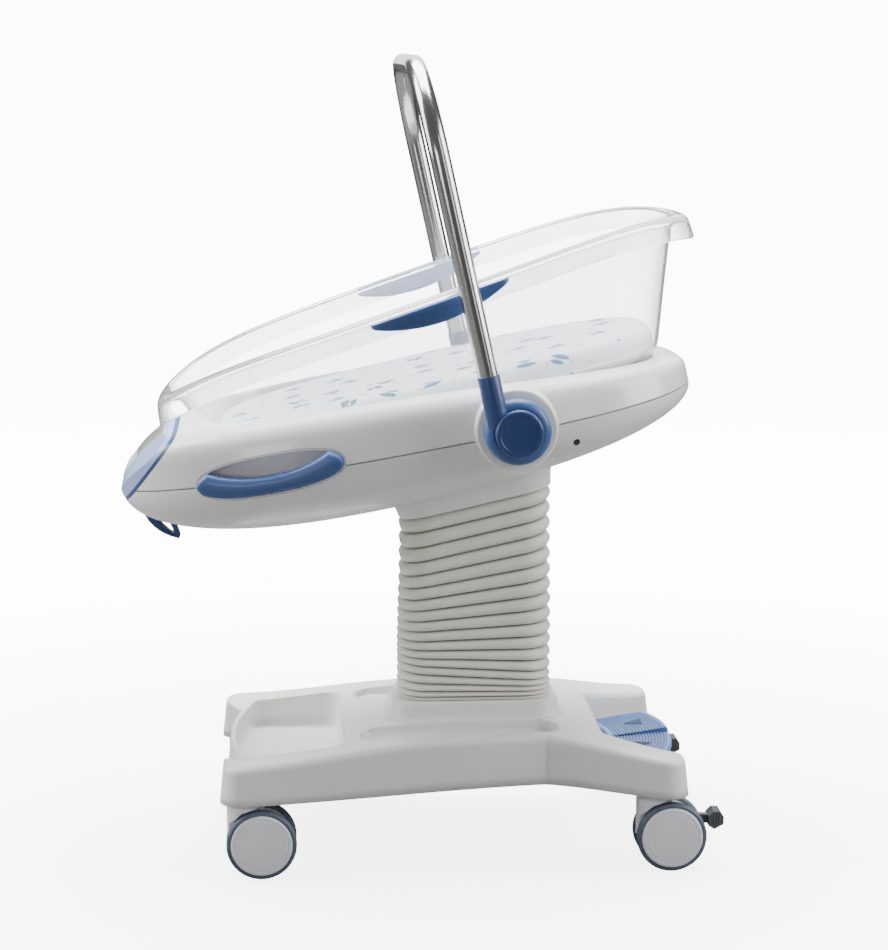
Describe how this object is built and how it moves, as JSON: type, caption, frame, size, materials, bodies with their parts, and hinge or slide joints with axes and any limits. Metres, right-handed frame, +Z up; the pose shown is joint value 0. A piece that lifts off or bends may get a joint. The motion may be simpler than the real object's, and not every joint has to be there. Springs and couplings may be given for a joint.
{
  "type": "hospital bassinet",
  "caption": "Mobile hospital bassinet: clear lift-off basin in a tilting cradle with arch handle, on a bellows-covered height-adjustable column and castered base with foot pedals.",
  "frame": {"origin": "on the floor under the middle of the bounding box", "axes": "+X towards the head end and the foot pedals, +Y to the far side of the picture, +Z up"},
  "size_m": [0.854, 0.566, 1.1484],
  "materials": {
    "white_shell": "satin moulded",
    "steel": "powder coated",
    "anodised_mast": "anodised",
    "stainless": "brushed stainless",
    "dark_plastic": "moulded",
    "bellows": "matt folded sleeve",
    "pedal_blue": "ribbed",
    "grip_blue": "satin moulded",
    "navy": "satin moulded",
    "bezel_blue": "satin moulded",
    "display": "display window",
    "pale_grey": "moulded",
    "board": "circuit board",
    "tyre": "grey non-marking tread",
    "clear": "clear moulded",
    "ticking": "printed cover on foam"
  },
  "bodies": {
    "base": {"base_cover": "white_shell", "base_frame": "steel", "mast_outer": "anodised_mast", "mast_guide": "dark_plastic", "lift_actuator": "dark_plastic", "battery_pack": "dark_plastic", "pedal_axle": "steel", "pedal_spring": "steel", "bellows": "bellows"},
    "pedal_up": {"pedal_up": "pedal_blue"},
    "pedal_down": {"pedal_down": "pedal_blue"},
    "mast": {"mast_inner": "anodised_mast", "lift_rod": "stainless", "tilt_yoke": "steel", "tilt_pin": "steel"},
    "strut_cylinder": {"tilt_cylinder": "dark_plastic"},
    "strut_rod": {"tilt_rod": "stainless"},
    "cradle": {"cradle_frame": "steel", "lower_shell": "white_shell", "upper_shell": "white_shell", "bellows_collar": "white_shell", "control_bezel": "bezel_blue", "display_lens": "display", "keypad": "pale_grey", "control_board": "board", "side_grip_near": "grip_blue", "side_grip_far": "grip_blue", "front_hook": "navy"},
    "arch": {"arch_tube": "stainless", "arch_hub_near": "grip_blue", "arch_hub_far": "grip_blue", "hub_cap_near": "navy", "hub_cap_far": "navy"},
    "basin": {"basin": "clear", "basin_grip_near": "grip_blue", "basin_grip_far": "grip_blue", "mattress": "ticking"},
    "caster_front_near": {"caster_front_near_hood": "pale_grey"},
    "wheel_front_near_outer": {"caster_front_near_outer_tyre": "tyre", "caster_front_near_outer_disc": "pale_grey"},
    "wheel_front_near_inner": {"caster_front_near_inner_tyre": "tyre", "caster_front_near_inner_disc": "pale_grey"},
    "caster_front_far": {"caster_front_far_hood": "pale_grey"},
    "wheel_front_far_outer": {"caster_front_far_outer_tyre": "tyre", "caster_front_far_outer_disc": "pale_grey"},
    "wheel_front_far_inner": {"caster_front_far_inner_tyre": "tyre", "caster_front_far_inner_disc": "pale_grey"},
    "caster_rear_near": {"caster_rear_near_hood": "pale_grey"},
    "wheel_rear_near_outer": {"caster_rear_near_outer_tyre": "tyre", "caster_rear_near_outer_disc": "pale_grey"},
    "wheel_rear_near_inner": {"caster_rear_near_inner_tyre": "tyre", "caster_rear_near_inner_disc": "pale_grey"},
    "brake_rear_near": {"caster_rear_near_brake": "dark_plastic"},
    "caster_rear_far": {"caster_rear_far_hood": "pale_grey"},
    "wheel_rear_far_outer": {"caster_rear_far_outer_tyre": "tyre", "caster_rear_far_outer_disc": "pale_grey"},
    "wheel_rear_far_inner": {"caster_rear_far_inner_tyre": "tyre", "caster_rear_far_inner_disc": "pale_grey"},
    "brake_rear_far": {"caster_rear_far_brake": "dark_plastic"}
  },
  "joints": [
    {"name": "lift", "type": "slide", "parent": "base", "child": "mast", "axis": [0, 0, 1], "range_m": [-0.12, 0.06], "deforming": ["bellows"]},
    {"name": "tilt", "type": "hinge", "parent": "mast", "child": "cradle", "pos_m": [0.084, 0, 0.58], "axis": [0, 1, 0], "range_deg": [0, 12.5], "deforming": ["bellows"]},
    {"name": "strut_swing", "type": "hinge", "parent": "mast", "child": "strut_cylinder", "pos_m": [0.004, 0, 0.485], "axis": [0, 1, 0], "range_deg": [0, 2.83]},
    {"name": "strut_stroke", "type": "slide", "parent": "strut_cylinder", "child": "strut_rod", "axis": [-0.1317, 0, 0.9913], "range_m": [0, 0.01971]},
    {"name": "arch_swing", "type": "hinge", "parent": "cradle", "child": "arch", "pos_m": [0.1233, 0, 0.643], "axis": [0, 1, 0], "range_deg": [-60, 75]},
    {"name": "basin_lift", "type": "slide", "parent": "cradle", "child": "basin", "axis": [-0.2164, 0, 0.9763], "range_m": [0, 0.07]},
    {"name": "pedal_up_press", "type": "hinge", "parent": "base", "child": "pedal_up", "pos_m": [0.29001, 0, 0.122], "axis": [0, 1, 0], "range_deg": [0, 10], "stiffness_Nm_per_rad": 3, "springref_deg": -17.19, "deforming": ["pedal_spring"]},
    {"name": "pedal_down_press", "type": "hinge", "parent": "base", "child": "pedal_down", "pos_m": [0.29001, 0, 0.122], "axis": [0, 1, 0], "range_deg": [0, 10], "stiffness_Nm_per_rad": 3, "springref_deg": -17.19, "deforming": ["pedal_spring"]},
    {"name": "front_near_swivel", "type": "hinge", "parent": "base", "child": "caster_front_near", "pos_m": [-0.254, -0.184, 0.05], "axis": [0, 0, 1], "continuous": true},
    {"name": "front_near_outer_roll", "type": "hinge", "parent": "caster_front_near", "child": "wheel_front_near_outer", "pos_m": [-0.232, -0.184, 0.05], "axis": [0, 1, 0], "continuous": true},
    {"name": "front_near_inner_roll", "type": "hinge", "parent": "caster_front_near", "child": "wheel_front_near_inner", "pos_m": [-0.232, -0.184, 0.05], "axis": [0, 1, 0], "continuous": true},
    {"name": "front_far_swivel", "type": "hinge", "parent": "base", "child": "caster_front_far", "pos_m": [-0.254, 0.184, 0.05], "axis": [0, 0, 1], "continuous": true},
    {"name": "front_far_outer_roll", "type": "hinge", "parent": "caster_front_far", "child": "wheel_front_far_outer", "pos_m": [-0.232, 0.184, 0.05], "axis": [0, 1, 0], "continuous": true},
    {"name": "front_far_inner_roll", "type": "hinge", "parent": "caster_front_far", "child": "wheel_front_far_inner", "pos_m": [-0.232, 0.184, 0.05], "axis": [0, 1, 0], "continuous": true},
    {"name": "rear_near_swivel", "type": "hinge", "parent": "base", "child": "caster_rear_near", "pos_m": [0.329, -0.19, 0.05], "axis": [0, 0, 1], "continuous": true},
    {"name": "rear_near_outer_roll", "type": "hinge", "parent": "caster_rear_near", "child": "wheel_rear_near_outer", "pos_m": [0.35101, -0.19, 0.05], "axis": [0, 1, 0], "continuous": true},
    {"name": "rear_near_inner_roll", "type": "hinge", "parent": "caster_rear_near", "child": "wheel_rear_near_inner", "pos_m": [0.35101, -0.19, 0.05], "axis": [0, 1, 0], "continuous": true},
    {"name": "rear_near_brake", "type": "hinge", "parent": "caster_rear_near", "child": "brake_rear_near", "pos_m": [0.375, -0.19, 0.07], "axis": [0, 1, 0], "range_deg": [0, 12]},
    {"name": "rear_far_swivel", "type": "hinge", "parent": "base", "child": "caster_rear_far", "pos_m": [0.329, 0.19, 0.05], "axis": [0, 0, 1], "continuous": true},
    {"name": "rear_far_outer_roll", "type": "hinge", "parent": "caster_rear_far", "child": "wheel_rear_far_outer", "pos_m": [0.35101, 0.19, 0.05], "axis": [0, 1, 0], "continuous": true},
    {"name": "rear_far_inner_roll", "type": "hinge", "parent": "caster_rear_far", "child": "wheel_rear_far_inner", "pos_m": [0.35101, 0.19, 0.05], "axis": [0, 1, 0], "continuous": true},
    {"name": "rear_far_brake", "type": "hinge", "parent": "caster_rear_far", "child": "brake_rear_far", "pos_m": [0.375, 0.19, 0.07], "axis": [0, 1, 0], "range_deg": [0, 12]}
  ],
  "couplings": [
    {"joint": "strut_swing", "follows": "tilt", "ratio": 0.2244},
    {"joint": "strut_stroke", "follows": "tilt", "m_per_rad": 0.089885}
  ]
}
